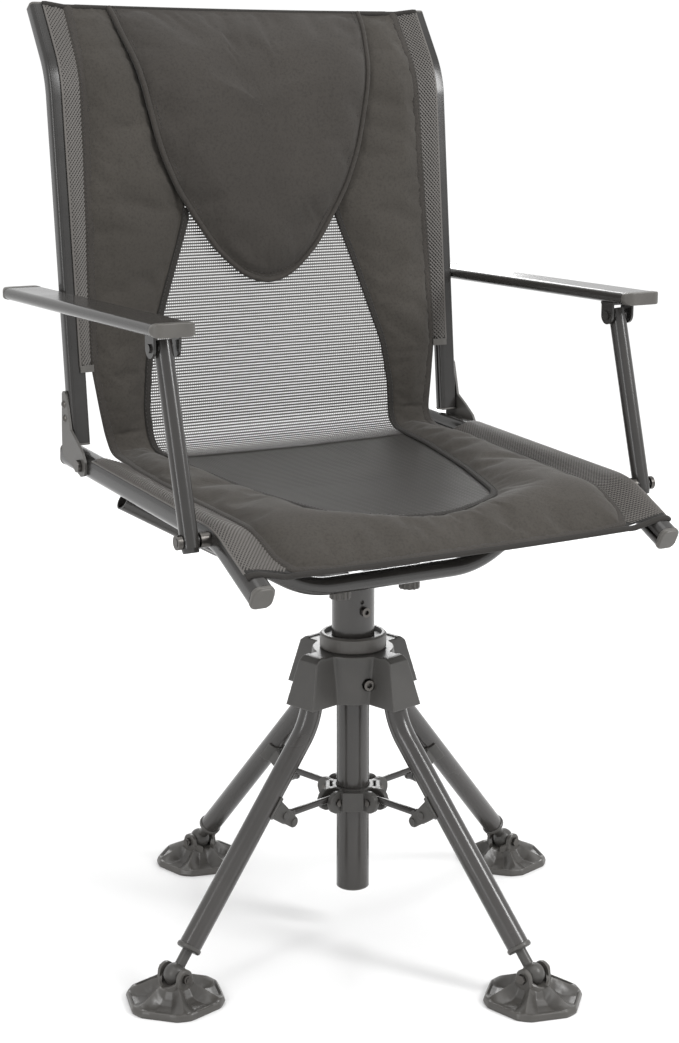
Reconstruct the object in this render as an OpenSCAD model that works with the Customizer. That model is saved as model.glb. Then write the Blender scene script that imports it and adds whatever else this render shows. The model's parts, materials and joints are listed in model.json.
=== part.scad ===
// Swivel seat with a folding back and a folding four-leg base.
// Origin: on the ground under the swivel axis. The seat faces -Y, +Z is up.
// Units: millimetres.

/* [Seat frame] */
// Distance between the centre lines of the two seat side rails
rail_span = 495.4; // [480:0.2:510]
// Width of the extruded side rail, across the seat
rail_w = 25; // [24:0.5:26]
// Height of the extruded side rail
rail_h = 26; // [24:0.5:28]
// Wall of the extruded rails
rail_wall = 1.8; // [1.5:0.1:2.2]
// Pitch of the drooping front end of the side rail, degrees
front_pitch = 26.3; // [22:0.1:30]
// Diameter of the two seat cross tubes
cross_d = 20; // [18:0.5:21]

/* [Back frame] */
// Width of the back rail, across the chair
back_w = 22; // [20:0.5:23]
// Depth of the back rail, front to rear
back_d = 18; // [16:0.5:19]
// Recline of the back from vertical, degrees
recline = 5.3; // [4:0.1:7]
// Lean of the flared top end of the back rail from vertical, degrees
flare = 33; // [28:0.5:36]

/* [Arms] */
// Width of the flat armrest
arm_w = 48; // [44:1:50]
// Thickness of the flat armrest
arm_t = 13; // [12:0.5:14]
// Outer diameter of the arm strut tube
strut_d = 19; // [17:0.5:20]

/* [Base] */
// Outer diameter of the centre post
post_d = 38.1; // [38:0.05:38.1]
// Outer diameter of a leg tube
leg_d = 25; // [24:0.5:25.4]
// Wall of a leg tube
leg_wall = 1.5; // [1.2:0.1:2]
// Turn of the leg base about the swivel axis, degrees
base_turn = 15; // [0:1:45]
// Diameter of a foot pad
pad_d = 110; // [100:1:114]
// Diameter of the ball on a foot stud
ball_d = 25; // [24:0.5:25]

/* [Hidden] */
$fn = 48;

gunmetal = [0.27, 0.26, 0.25];
darkgrey = [0.22, 0.21, 0.20];
cloth = [0.30, 0.29, 0.27];
steel = [0.45, 0.45, 0.45];
e = 0.02;                       // radial play of fixed pieces in their holes
run = 0.05;                     // radial play of running pins in their holes

// Leg indices 0..3 stand at base_turn + 90 * index from +X
BR = 0; BL = 1; FL = 2; FR = 3;

// Leg geometry in the leg's own vertical plane: [radius, height]
hinge = [61.4, 306];
leg_a1 = 13.8;                  // upper part, degrees from vertical
leg_a2 = 40.9;                  // lower part, degrees from vertical
leg_over = 9;                   // tube length above the hinge pin
leg_r = 80;                     // bend radius
leg_corner = [71.8, 263.7];     // where the two straight axes meet
ball = [274.2, 30];             // centre of the foot ball
stud_len = 34;                  // from the tube end to the ball centre
inner_pin = [34.5, 164];        // spreader pin on the collar
outer_pin = [103, 159];         // spreader pivot on the leg bracket
leg_dir = [sin(leg_a2), -cos(leg_a2)];
tube_end = ball - stud_len * leg_dir;
leg_top = hinge + leg_over * [-sin(leg_a1), cos(leg_a1)];
leg_tan = leg_r * tan((leg_a2 - leg_a1) / 2);

// Seat rail line in the side view: [y, z]
strut_pin = [-160, 531];
seat_pitch = 3.33;
rail_corner = [-166, 530.65];
rail_rear_y = 222;
front_len = 90;
rail_r = 90;
rail_tan = rail_r * tan((front_pitch - seat_pitch) / 2);
rail_in = rail_span / 2 - rail_w / 2;
rail_out = rail_span / 2 + rail_w / 2;
function rail_z(y) = rail_corner[1] + (y - rail_corner[0]) * tan(seat_pitch);

// Back hinge and arm linkage, a parallelogram in the side view: [y, z]
back_pin = [158, 551];
link = [52, 185];
arm_pin = back_pin + link;
strut_top = strut_pin + link;
strut_x = 281;
arm_x = 286;
arm_z = 737.5;
arm_front = -150;
arm_rear = 266;

// Back rail line in the side view: [y, z]
back_foot = [191.6, 571];
back_len = 410.8;
flare_len = 86;
back_r = 100;
back_tan = back_r * tan((flare - recline) / 2);
back_x = rail_out - back_w / 2;
back_path = [back_foot + back_len * [sin(recline), cos(recline)], 90 - recline, 90 - flare, back_len, flare_len, back_r];

// Swivel
ring_z = 342;
sleeve_z = 356.3;
plate_z = 428;
bar_z = plate_z + 5;
cross_y = 85;
cross_flat = 107;

module rrect(w, h, r) {
  square([w - 2 * r, h], center = true);
  square([w, h - 2 * r], center = true);
  for (x = [-1, 1], y = [-1, 1]) translate([x * (w / 2 - r), y * (h / 2 - r)]) circle(r = r);
}
module stadium(w, h) {
  square([w - h, h], center = true);
  for (x = [-1, 1]) translate([x * (w - h) / 2, 0]) circle(d = h);
}
// Turns a swept profile towards +Y by angle a at radius r
module bend(r, a)
  translate([0, r, 0]) rotate([90, 0, -90]) rotate_extrude(angle = a) translate([r, 0]) mirror([1, 1]) children();
module after_bend(r, a) translate([0, r * (1 - cos(a)), r * sin(a)]) rotate([-a, 0, 0]) children();
module path3(l1, r, a, l2) {
  linear_extrude(l1) children();
  translate([0, 0, l1]) { bend(r, a) children(); after_bend(r, a) linear_extrude(l2) children(); }
}
module at_leg(i) rotate([0, 0, base_turn + 90 * i]) children();
// Places children in the leg plane at p = [radius, height], local Z along the leg part at angle a
module in_leg(p, a) translate([p[0], 0, p[1]]) rotate([0, 180 - a, 0]) rotate([0, 0, 90]) children();
// A cylinder along the tangent through p
module across(p, r, y0, y1) translate([p[0], y1, p[1]]) rotate([90, 0, 0]) cylinder(r = r, h = y1 - y0);
// A cylinder along X through the side view point p, from x0 to x1 on side s
module pin_x(p, r, x0, x1, s) translate([s > 0 ? x0 : -x1, p[0], p[1]]) rotate([0, 90, 0]) cylinder(r = r, h = x1 - x0);

// ---------- base ----------
module center_post() color(gunmetal) rotate_extrude($fn = 72) difference() {
  translate([post_d / 2 - 2.7, 52]) square([2.7, 370]);
  translate([post_d / 2 - 1.4, 384.5]) square([3, 8]);
}
module post_end_plug() color(darkgrey) rotate_extrude($fn = 72)
  polygon([[0, 50], [post_d / 2 - 0.8, 50], [post_d / 2, 50.8], [post_d / 2, 52], [post_d / 2 - 2.7 - e, 52], [post_d / 2 - 2.7 - e, 62], [0, 62]]);

module lobe() intersection() {
  translate([0, 30, 0]) rotate([90, 0, 0]) linear_extrude(60)
    polygon([[26, 287], [86, 287], [72.5, 338], [66, 343], [44, 346], [26, 346]]);
  translate([20, 0, 0]) rotate([90, 0, 90]) linear_extrude(80)
    polygon([[-22, 287], [22, 287], [14, 341], [11, 346], [-11, 346], [-14, 341]]);
}
module leg_slot() {
  translate([0, 13.1, 0]) rotate([90, 0, 0]) linear_extrude(26.2) translate(hinge) {
    circle(r = 16.4);
    for (a = [leg_a1, leg_a1 - 27]) rotate(180 + a) translate([-13.3, 0]) square([26.6, 30]);
  }
}
module leg_hub() color(darkgrey) difference() {
  union() {
    translate([0, 0, 287]) cylinder(r1 = 51, r2 = 46.7, h = 58, $fn = 72);
    for (i = [0:3]) at_leg(i) lobe();
  }
  translate([0, 0, 280]) cylinder(d = post_d + 2 * e, h = 80, $fn = 72);
  translate([0, 0, ring_z]) cylinder(r = 60, h = 10, $fn = 72);
  for (i = [0:3]) at_leg(i) { leg_slot(); across(hinge, 3 + e, -17.1, 17.1); }
  rotate([0, 0, base_turn + 90 * FR - 25]) translate([0, 0, 310]) rotate([0, 90, 0]) { cylinder(r = 4 + e, h = 60); translate([0, 0, 46]) cylinder(r = 6.5, h = 20); }
}
module hub_hinge_pins() color(steel) for (i = [0:3]) at_leg(i) across(hinge, 3, -17, 17);
module hub_set_screw() color(steel) rotate([0, 0, base_turn + 90 * FR - 25]) translate([0, 0, 310]) rotate([0, 90, 0]) difference() {
  union() { translate([0, 0, post_d / 2 + 0.1]) cylinder(r = 4, h = 27); translate([0, 0, 46]) cylinder(r = 6, h = 7); }
  translate([0, 0, 49]) cylinder(r = 3.4, h = 10, $fn = 6);
}
module swivel_thrust_ring() color(darkgrey) rotate_extrude($fn = 72)
  polygon([[post_d / 2 + e, ring_z], [36.5, ring_z], [38, ring_z + 1.5], [38, ring_z + 16], [36, ring_z + 18], [33, ring_z + 18], [31, ring_z + 13.8], [post_d / 2 + e, ring_z + 13.8]]);

// ---------- one leg, its foot and its brace ----------
// The bend laps over both straight parts by half a degree
module leg_tube(i) color(gunmetal) at_leg(i) difference() {
  in_leg(leg_top, leg_a1) {
    l1 = leg_over + norm(leg_corner - hinge) - leg_tan;
    linear_extrude(l1) leg_ring(0);
    translate([0, 0, l1]) {
      translate([0, leg_r, 0]) rotate([90, 0, -90]) rotate([0, 0, -0.5]) rotate_extrude(angle = leg_a2 - leg_a1 + 1) translate([leg_r, 0]) leg_ring(0.02);
      after_bend(leg_r, leg_a2 - leg_a1) linear_extrude(norm(tube_end - leg_corner) - leg_tan) leg_ring(0);
    }
  }
  across(hinge, 3 + run, -20, 20);
}
module leg_ring(x) difference() { circle(r = leg_d / 2 + x); circle(r = leg_d / 2 - leg_wall - x); }
leg_nrm = [-cos(leg_a2), -sin(leg_a2)];
reach = (outer_pin - tube_end) * leg_nrm;
bracket_root = outer_pin - reach * leg_nrm;
module brace_bracket(i) color(darkgrey) at_leg(i) {
  difference() {
    union() {
      for (s = [-1, 1]) translate([0, s * 6.8 + 1.6, 0]) rotate([90, 0, 0]) linear_extrude(3.2) {
        polygon([outer_pin + 6.5 * leg_dir, bracket_root + 12 * leg_dir, bracket_root - 12 * leg_dir, outer_pin - 6.5 * leg_dir]);
        translate(outer_pin) circle(r = 6.5);
      }
      intersection() {
        in_leg(bracket_root - 13 * leg_dir, leg_a2) cylinder(r = leg_d / 2 + 2.2, h = 26);
        translate([bracket_root[0], 0, bracket_root[1]]) rotate([0, 90 + (180 - leg_a2), 0]) translate([-15, -20, 2]) cube([30, 40, 30]);
      }
      for (s = [-1, 1]) {
        across(outer_pin, 4.4, s > 0 ? 8.4 : -10.4, s > 0 ? 10.4 : -8.4);
        across(outer_pin - 17 * leg_nrm, 4.4, s > 0 ? 8.4 : -10.4, s > 0 ? 10.4 : -8.4);
      }
    }
    in_leg(bracket_root - 40 * leg_dir, leg_a2) cylinder(r = leg_d / 2 + e, h = 80);
  }
}
module foot_stud(i) color(darkgrey) at_leg(i) difference() {
  in_leg(tube_end, leg_a2) {
    translate([0, 0, -12]) cylinder(d = leg_d - 2 * leg_wall - 2 * e, h = 12);
    rotate_extrude() polygon([[0, 0], [leg_d / 2 + 0.6, 0], [leg_d / 2 + 1.4, 1.2], [leg_d / 2 + 1.4, 4], [leg_d / 2, 5.5], [0, 5.5]]);
    cylinder(r = 6, h = stud_len);
    translate([0, 0, stud_len]) sphere(d = ball_d);
  }
  across(ball, 3 + run, -30, 30);
}
module foot_pad(i) color(darkgrey) at_leg(i) difference() {
  union() {
    translate([ball[0], 0, 0]) rotate_extrude($fn = 72)
      polygon([[0, 0], [pad_d / 2 - 1, 0], [pad_d / 2, 1.5], [pad_d / 2 - 1, 4], [44, 8], [26, 19], [22, 21], [0, 21]]);
    for (s = [-1, 1]) {
      translate([ball[0] - 10, s > 0 ? 13.4 : -18.6, 12]) cube([20, 5.2, ball[1] - 12]);
      across(ball, 10, s > 0 ? 13.4 : -18.6, s > 0 ? 18.6 : -13.4);
    }
  }
  translate([ball[0], 0, ball[1]]) sphere(r = ball_d / 2 + 0.6);
  across(ball, 3 + e, -30, 30);
}
module foot_bolt(i) color(steel) at_leg(i) {
  across(ball, 3, -22, 23);
  across(ball, 5.2, 18.6, 22.4);
  translate([ball[0], -18.6, ball[1]]) rotate([90, 0, 0]) cylinder(r = 5.6, h = 3.6, $fn = 6);
}
module brace_rod(i) color(gunmetal) at_leg(i) difference() {
  union() {
    across(inner_pin, 7.5, -4.5, 4.5);
    translate([inner_pin[0] + 3, 0, inner_pin[1] + 3]) rotate([0, 90, 0]) cylinder(r = 4, h = outer_pin[0] - inner_pin[0] - 3);
    across(outer_pin, 6, -4.5, 4.5);
    translate([outer_pin[0] - 6, -4.5, outer_pin[1]]) cube([12, 9, inner_pin[1] + 3 - outer_pin[1] + 3]);
  }
  across(inner_pin, 2.5 + run, -10, 10);
  across(outer_pin, 2.6, -10, 10);
}
module spreader_collar() color(darkgrey) difference() {
  union() {
    translate([0, 0, inner_pin[1] - 12]) cylinder(r = 24.5, h = 24, $fn = 72);
    for (i = [0:3]) at_leg(i) {
      for (s = [-1, 1]) {
        across(inner_pin, 13, s > 0 ? 5.2 : -11.4, s > 0 ? 11.4 : -5.2);
        translate([21, s > 0 ? 5.2 : -11.4, inner_pin[1] - 11.8]) cube([inner_pin[0] - 21, 6.2, 23.6]);
      }
      rotate([0, 0, 45]) translate([26.2, -12.5, inner_pin[1] - 11.5]) cube([6, 25, 23]);
    }
  }
  translate([0, 0, inner_pin[1] - 20]) cylinder(d = post_d + 0.3, h = 40, $fn = 72);
  for (i = [0:3]) at_leg(i) {
    translate([24, -5.2, inner_pin[1] - 20]) cube([40, 10.4, 40]);
    across(inner_pin, 2.5 + e, -20, 20);
  }
}
module collar_pins() color(steel) for (i = [0:3]) at_leg(i) {
  across(inner_pin, 2.5, -12, 12);
  for (s = [-1, 1]) across(inner_pin, 4.2, s > 0 ? 11.4 : -13, s > 0 ? 13 : -11.4);
}

// ---------- swivel and seat frame ----------
screw_z = 388.5;
module swivel_sleeve() color(gunmetal) difference() {
  translate([0, 0, sleeve_z]) cylinder(r = 24.5, h = plate_z - sleeve_z, $fn = 72);
  translate([0, 0, sleeve_z - 1]) cylinder(r = 21.5, h = 80, $fn = 72);
  translate([0, 0, screw_z]) rotate([90, 0, 0]) cylinder(r = 3 + e, h = 40);
  translate([0, 0, screw_z + 11]) rotate([90, 0, -6]) cylinder(r = 2.5, h = 40);
}
module swivel_bush() color(darkgrey) difference() {
  translate([0, 0, sleeve_z + 1]) cylinder(r = 21.5, h = 66, $fn = 72);
  translate([0, 0, sleeve_z - 1]) cylinder(d = post_d + 0.16, h = 80, $fn = 72);
  translate([0, 0, screw_z]) rotate([90, 0, 0]) cylinder(r = 3 + e, h = 40);
}
module sleeve_retaining_screw() color(steel) translate([0, 0, screw_z]) rotate([90, 0, 0]) difference() {
  union() { translate([0, 0, 18]) cylinder(r = 3, h = 7); translate([0, 0, 24.5]) cylinder(r = 5.5, h = 6); }
  translate([0, 0, 27.5]) cylinder(r = 2.9, h = 10, $fn = 6);
}
module seat_plate() color(gunmetal) difference() {
  translate([0, 0, plate_z]) linear_extrude(5) rrect(134, 140, 14);
  for (x = [-45, 45], y = [-48, 48]) translate([x, y, plate_z - 1]) cylinder(r = 3 + e, h = 10);
}
module plate_thumb_nuts() color(darkgrey) for (x = [-45, 45], y = [-48, 48]) translate([x, y, 0]) {
  translate([0, 0, plate_z - 12]) cylinder(r = 10.5, h = 12);
  for (k = [0:11]) rotate([0, 0, 30 * k]) translate([10.5, 0, plate_z - 12]) cylinder(r = 1.5, h = 10, $fn = 16);
  translate([0, 0, plate_z]) cylinder(r = 3, h = 9);
}
cross_tan = 110 * tan(15);
module cross_half() translate([0, 0, bar_z + cross_d / 2]) rotate([0, 90, 0]) rotate([0, 0, 90])
  path3(cross_flat - cross_tan, 110, 30, norm([133, 77]) - cross_tan + 5) difference() { circle(d = cross_d); circle(d = cross_d - 3.2); }
// The ends are coped to the side rails
module crossbar(y) color(gunmetal) for (s = [0, 1]) mirror([s, 0, 0]) difference() {
  translate([0, y, 0]) cross_half();
  band(seat_line, rail_in, rail_out + 30, -rail_h / 2, rail_h / 2);
}
module seat_support_bars() color(gunmetal) for (x = [-45, 45]) difference() {
  translate([x, cross_y, bar_z + 10]) rotate([90, 0, 0]) linear_extrude(2 * cross_y) difference() { rrect(20, 20, 2.5); rrect(16, 16, 1.5); }
  for (y = [-cross_y, cross_y]) translate([x - 20, y, bar_z + cross_d / 2]) rotate([0, 90, 0]) cylinder(d = cross_d, h = 40);
  for (y = [-48, 48]) translate([x, y, bar_z - 1]) cylinder(r = 3 + e, h = 8);
}
// A line in the side view that turns once: [corner, heading before, heading after, length before, length after, radius]
seat_line = [rail_corner, front_pitch, seat_pitch, front_len, (rail_rear_y - rail_corner[0]) / cos(seat_pitch), rail_r];
rail_front = rail_corner + front_len * [-cos(front_pitch), -sin(front_pitch)];
function ahead(a) = [cos(a), sin(a)];
function aside(a) = [-sin(a), cos(a)];
// Points at distance o beside the line, ends stretched by x
function line_pts(l, o, x) = concat([l[0] - (l[3] + x) * ahead(l[1]) + o * aside(l[1])],
  [for (k = [0:8]) l[0] - l[5] * tan((l[1] - l[2]) / 2) * ahead(l[1]) - l[5] * aside(l[1]) + (l[5] + o) * aside(l[1] - k * (l[1] - l[2]) / 8)],
  [l[0] + (l[4] + x) * ahead(l[2]) + o * aside(l[2])]);
function strip(l, o0, o1, x) = concat(line_pts(l, o1, x), [for (k = [10:-1:0]) line_pts(l, o0, x)[k]]);
// A strip from o0 to o1 beside the line, drawn across the chair from x0 to x1
module band(l, x0, x1, o0, o1, x = 0) translate([x0, 0, 0]) rotate([90, 0, 90]) linear_extrude(x1 - x0) polygon(strip(l, o0, o1, x));
module seat_rail(s) color(gunmetal) mirror([s > 0 ? 0 : 1, 0, 0]) difference() {
  band(seat_line, rail_in, rail_out, -rail_h / 2, rail_h / 2);
  band(seat_line, rail_in + rail_wall, rail_out - rail_wall, -rail_h / 2 + rail_wall, 1, 1);
  band(seat_line, rail_in + 9.5, rail_out - rail_wall, 0.5, rail_h / 2 - rail_wall, 1);
  band(seat_line, rail_in + 2.4, rail_in + 8, 2.8, 8.2, 1);
  band(seat_line, rail_in - 1, rail_in + 3, 3.8, 7.2, 1);
  pin_x(strut_pin, 4 + e, 230, 270, 1);
  pin_x(back_pin, 4 + e, 230, 270, 1);
}
module seat_rail_caps() color(darkgrey) for (s = [0, 1]) mirror([s, 0, 0]) {
  translate([-rail_span / 2, rail_front[0], rail_front[1]]) rotate([-(90 - front_pitch), 0, 0]) translate([0, 0, -4]) { linear_extrude(4) rrect(rail_w, rail_h, 8); translate([0, 0, -1.5]) linear_extrude(1.5) rrect(rail_w - 3, rail_h - 3, 7); }
  translate([-rail_span / 2, rail_rear_y, rail_z(rail_rear_y)]) rotate([-(90 - seat_pitch), 0, 0]) linear_extrude(3) rrect(rail_w, rail_h, 8);
}
module seat_fabric() color(cloth) translate([-rail_in + 1.4, 0, 0]) rotate([90, 0, 90]) linear_extrude(2 * rail_in - 2.8)
  polygon([[198, rail_z(198) - 4], [198, rail_z(198) + 10], [rail_corner[0], rail_corner[1] + 10], rail_front + [2.7, 10], rail_front + [6, -4], [rail_corner[0], rail_corner[1] - 4]]);
module seat_hinge_bolts() color(steel) for (s = [-1, 1]) {
  pin_x(strut_pin, 4, 240, 296, s);
  pin_x(strut_pin, 8, rail_out, strut_x - strut_d / 2 - 0.3, s);
  pin_x(strut_pin, 7.5, strut_x + strut_d / 2 + 0.4, 295.6, s);
  pin_x(back_pin, 4, 240, rail_out + 7, s);
  pin_x(back_pin, 7, rail_out + 3.6, rail_out + 8, s);
}

// ---------- back ----------
module back_line() translate([-back_x, back_foot[0], back_foot[1]]) rotate([-recline, 0, 0])
  path3(back_len - back_tan, back_r, flare - recline, flare_len - back_tan) children();
back_in = back_x - back_w / 2;
rivets = [[200.3, 615], [199, 599]];
// Beside this line, positive is towards the front
module back_rail(s) color(gunmetal) mirror([s > 0 ? 0 : 1, 0, 0]) difference() {
  band(back_path, back_in, rail_out, -back_d / 2, back_d / 2);
  band(back_path, back_in + rail_wall, rail_out - rail_wall, -back_d / 2 + rail_wall, -0.9, 1);
  band(back_path, back_in + 9.8, rail_out - rail_wall, -1.4, back_d / 2 - rail_wall, 1);
  band(back_path, back_in + 2.4, back_in + 7.4, 1.5, 6.3, 1);
  band(back_path, back_in - 1, back_in + 3, 2.2, 5.6, 1);
  for (p = rivets) pin_x(p, 2.5 + e, 245, 270, 1);
  pin_x(arm_pin, 3 + e, 230, 270, 1);
}
module back_brackets() color(darkgrey) for (s = [-1, 1]) difference() {
  translate([s > 0 ? rail_out + 0.3 : -rail_out - 3.3, 0, 0]) rotate([90, 0, 90]) linear_extrude(3)
    polygon([[205, 627], [208, 590], [209, 560], [203, 554], [171, 544], [156, 538.5], [147, 541], [143, 549], [144, 557], [150, 566], [168, 578.5], [184, 588], [189, 608], [194, 627], [197, 630], [202, 630]]);
  pin_x(back_pin, 4 + run, 240, 280, s);
  for (p = rivets) pin_x(p, 2.5 + e, 240, 280, s);
}
module bracket_rivets() color(steel) for (s = [-1, 1], p = rivets) {
  pin_x(p, 2.5, 251, rail_out + 3.4, s);
  translate([s * (rail_out + 3.3), p[0], p[1]]) rotate([0, s * 90, 0]) intersection() { translate([0, 0, -3]) sphere(r = 5.6); cylinder(r = 5, h = 4); }
}
bar_at = back_foot + 368 * [sin(recline), cos(recline)];
module back_spreader_bar() color(gunmetal) translate([-back_x + back_w / 2 + e, 0, 0]) difference() {
  translate([0, bar_at[0] + 8.2, bar_at[1] - 0.8]) rotate([0, 90, 0]) cylinder(r = 7, h = 2 * back_x - back_w - 2 * e);
  translate([8, bar_at[0] + 8.2, bar_at[1] - 0.8]) rotate([0, 90, 0]) cylinder(r = 5.6, h = 2 * back_x - back_w - 16);
}
module back_rail_caps() color(darkgrey) for (s = [0, 1]) mirror([s, 0, 0]) {
  translate([-back_x, back_foot[0], back_foot[1]]) rotate([-recline, 0, 0]) {
    translate([0, 0, -2.5]) linear_extrude(2.5) rrect(back_w, back_d, 5);
    translate([0, 0, back_len - back_tan]) after_bend(back_r, flare - recline) translate([0, 0, flare_len - back_tan]) linear_extrude(3) rrect(back_w, back_d, 5);
  }
}
flare_at = back_foot + back_len * [sin(recline), cos(recline)];
flare_end = flare_at + (flare_len - 1) * [sin(flare), cos(flare)];
bn = [cos(recline), -sin(recline)];
fnv = [cos(flare), -sin(flare)];
mid_n = [cos((recline + flare) / 2), -sin((recline + flare) / 2)];
module back_fabric() color(cloth) translate([-back_x + back_w / 2 + 1.4, 0, 0]) rotate([90, 0, 90]) linear_extrude(2 * back_x - back_w - 2.8)
  polygon([back_foot + 5 * [sin(recline), cos(recline)] - 9 * bn, flare_at - 9 * mid_n, flare_end - 9 * fnv, flare_end, flare_at, back_foot + 5 * [sin(recline), cos(recline)]]);
module arm_pivot_bolts() color(steel) for (s = [-1, 1]) {
  pin_x(arm_pin, 3, 240, arm_x - arm_w / 2 + 11, s);
  pin_x(arm_pin, 5, rail_out, arm_x - arm_w / 2 - 0.3, s);
}

// ---------- arms ----------
module armrest(s) color(gunmetal) mirror([s > 0 ? 0 : 1, 0, 0]) difference() {
  union() {
    translate([arm_x, arm_rear - 12, arm_z]) rotate([90, 0, 0]) linear_extrude(arm_rear - arm_front - 24) difference() { stadium(arm_w, arm_t); stadium(arm_w - 3, arm_t - 3); }
    translate([strut_x - 15, strut_top[0] - 11, arm_z - arm_t / 2 - 2.5]) cube([30, 22, 2.6]);
    for (x = [strut_x - 15, strut_x + 12.4]) {
      translate([x, strut_top[0] - 10, strut_top[1]]) cube([2.6, 20, arm_z - arm_t / 2 - strut_top[1] - 2]);
      pin_x(strut_top, 10, x, x + 2.6, 1);
    }
    pin_x(strut_top, 4.6, strut_x - 17, strut_x - 14.9, 1);
    pin_x(strut_top, 4.6, strut_x + 14.9, strut_x + 17, 1);
  }
  pin_x(arm_pin, 3 + run, 255, arm_x - arm_w / 2 + 12, 1);
}
module armrest_caps(s) color(darkgrey) mirror([s > 0 ? 0 : 1, 0, 0]) intersection() {
  translate([arm_x, arm_rear, arm_z]) rotate([90, 0, 0]) linear_extrude(arm_rear - arm_front) stadium(arm_w + 1, arm_t + 1);
  difference() {
    translate([arm_x, (arm_rear + arm_front) / 2, arm_z - 20]) linear_extrude(40) rrect(arm_w + 1, arm_rear - arm_front, 12);
    translate([arm_x - 40, arm_front + 12, arm_z - 30]) cube([80, arm_rear - arm_front - 24, 60]);
  }
}
strut_len = norm(link);
module arm_strut(s) color(gunmetal) difference() {
  translate([s * strut_x, strut_pin[0], strut_pin[1]]) rotate([-atan2(link[0], link[1]), 0, 0]) {
    translate([0, 0, -7]) difference() { cylinder(d = strut_d, h = strut_len + 11); cylinder(d = strut_d - 3, h = strut_len + 11); }
    translate([0, 0, -12]) cylinder(d1 = strut_d - 3, d2 = strut_d - 0.6, h = 5);
    translate([0, 0, strut_len + 4]) cylinder(d = strut_d, h = 3);
    for (z = [0, strut_len]) translate([0, 0, z]) rotate([0, 90, 0]) translate([0, 0, -strut_d / 2 + 1.4]) cylinder(r = 6.5, h = strut_d - 2.8);
  }
  pin_x(strut_pin, 4 + run, 255, 300, s);
}

center_post();
post_end_plug();
leg_hub();
hub_hinge_pins();
hub_set_screw();
swivel_thrust_ring();
leg_tube(FL);  // leg_tube_front_left
leg_tube(FR);  // leg_tube_front_right
leg_tube(BL);  // leg_tube_back_left
leg_tube(BR);  // leg_tube_back_right
brace_bracket(FL);  // brace_bracket_front_left
brace_bracket(FR);  // brace_bracket_front_right
brace_bracket(BL);  // brace_bracket_back_left
brace_bracket(BR);  // brace_bracket_back_right
foot_stud(FL);  // foot_stud_front_left
foot_stud(FR);  // foot_stud_front_right
foot_stud(BL);  // foot_stud_back_left
foot_stud(BR);  // foot_stud_back_right
foot_pad(FL);  // foot_pad_front_left
foot_pad(FR);  // foot_pad_front_right
foot_pad(BL);  // foot_pad_back_left
foot_pad(BR);  // foot_pad_back_right
foot_bolt(FL);  // foot_bolt_front_left
foot_bolt(FR);  // foot_bolt_front_right
foot_bolt(BL);  // foot_bolt_back_left
foot_bolt(BR);  // foot_bolt_back_right
spreader_collar();
collar_pins();
brace_rod(FL);  // brace_rod_front_left
brace_rod(FR);  // brace_rod_front_right
brace_rod(BL);  // brace_rod_back_left
brace_rod(BR);  // brace_rod_back_right
swivel_sleeve();
swivel_bush();
sleeve_retaining_screw();
seat_plate();
plate_thumb_nuts();
crossbar(-cross_y);  // front_crossbar
crossbar(cross_y);  // rear_crossbar
seat_support_bars();
seat_rail(-1);  // seat_rail_left
seat_rail(1);  // seat_rail_right
seat_rail_caps();
seat_fabric();
seat_hinge_bolts();
back_rail(-1);  // back_rail_left
back_rail(1);  // back_rail_right
back_brackets();
bracket_rivets();
back_spreader_bar();
back_rail_caps();
back_fabric();
arm_pivot_bolts();
armrest(-1);  // armrest_left
armrest(1);  // armrest_right
armrest_caps(-1);  // armrest_caps_left
armrest_caps(1);  // armrest_caps_right
arm_strut(-1);  // arm_strut_left
arm_strut(1);  // arm_strut_right
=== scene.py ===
import bpy
import json
import math
import numpy as np
from mathutils import Vector, Matrix, noise


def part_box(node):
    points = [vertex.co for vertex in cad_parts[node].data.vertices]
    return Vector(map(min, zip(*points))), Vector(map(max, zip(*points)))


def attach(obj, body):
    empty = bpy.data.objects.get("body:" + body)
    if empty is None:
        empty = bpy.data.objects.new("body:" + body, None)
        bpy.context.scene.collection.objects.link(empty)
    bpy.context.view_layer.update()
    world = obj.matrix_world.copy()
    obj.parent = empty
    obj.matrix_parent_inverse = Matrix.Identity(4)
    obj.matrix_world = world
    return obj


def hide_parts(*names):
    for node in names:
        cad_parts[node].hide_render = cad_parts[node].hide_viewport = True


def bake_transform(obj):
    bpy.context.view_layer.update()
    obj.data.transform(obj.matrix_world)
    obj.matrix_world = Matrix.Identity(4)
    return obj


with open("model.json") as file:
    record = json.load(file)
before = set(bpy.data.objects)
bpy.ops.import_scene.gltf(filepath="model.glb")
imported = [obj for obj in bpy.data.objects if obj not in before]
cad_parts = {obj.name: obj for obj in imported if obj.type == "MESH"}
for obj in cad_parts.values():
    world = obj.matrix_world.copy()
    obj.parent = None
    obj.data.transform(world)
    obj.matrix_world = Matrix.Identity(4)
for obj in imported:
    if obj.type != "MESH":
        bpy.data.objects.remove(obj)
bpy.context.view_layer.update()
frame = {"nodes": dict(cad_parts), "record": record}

D = math.radians
NODES = frame["nodes"]
BODIES = frame["record"]["behaviour"]["bodies"]
BODY_OF = {n: b for b, ns in BODIES.items() for n in ns}

# ------------------------------------------------------------------ materials


def tree(name):
    m = bpy.data.materials.new(name)
    m.use_nodes = True
    nt = m.node_tree
    return m, nt, nt.nodes["Principled BSDF"]


def coords(nt, scale=(1, 1, 1), rot=(0, 0, 0)):
    tc = nt.nodes.new("ShaderNodeTexCoord")
    mp = nt.nodes.new("ShaderNodeMapping")
    mp.inputs["Scale"].default_value = scale
    mp.inputs["Rotation"].default_value = rot
    nt.links.new(tc.outputs["Object"], mp.inputs["Vector"])
    return mp.outputs["Vector"]


def noise_node(nt, vec, scale, detail=3.0, rough=0.55):
    n = nt.nodes.new("ShaderNodeTexNoise")
    n.inputs["Scale"].default_value = scale
    n.inputs["Detail"].default_value = detail
    n.inputs["Roughness"].default_value = rough
    nt.links.new(vec, n.inputs["Vector"])
    return n.outputs["Fac"]


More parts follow.
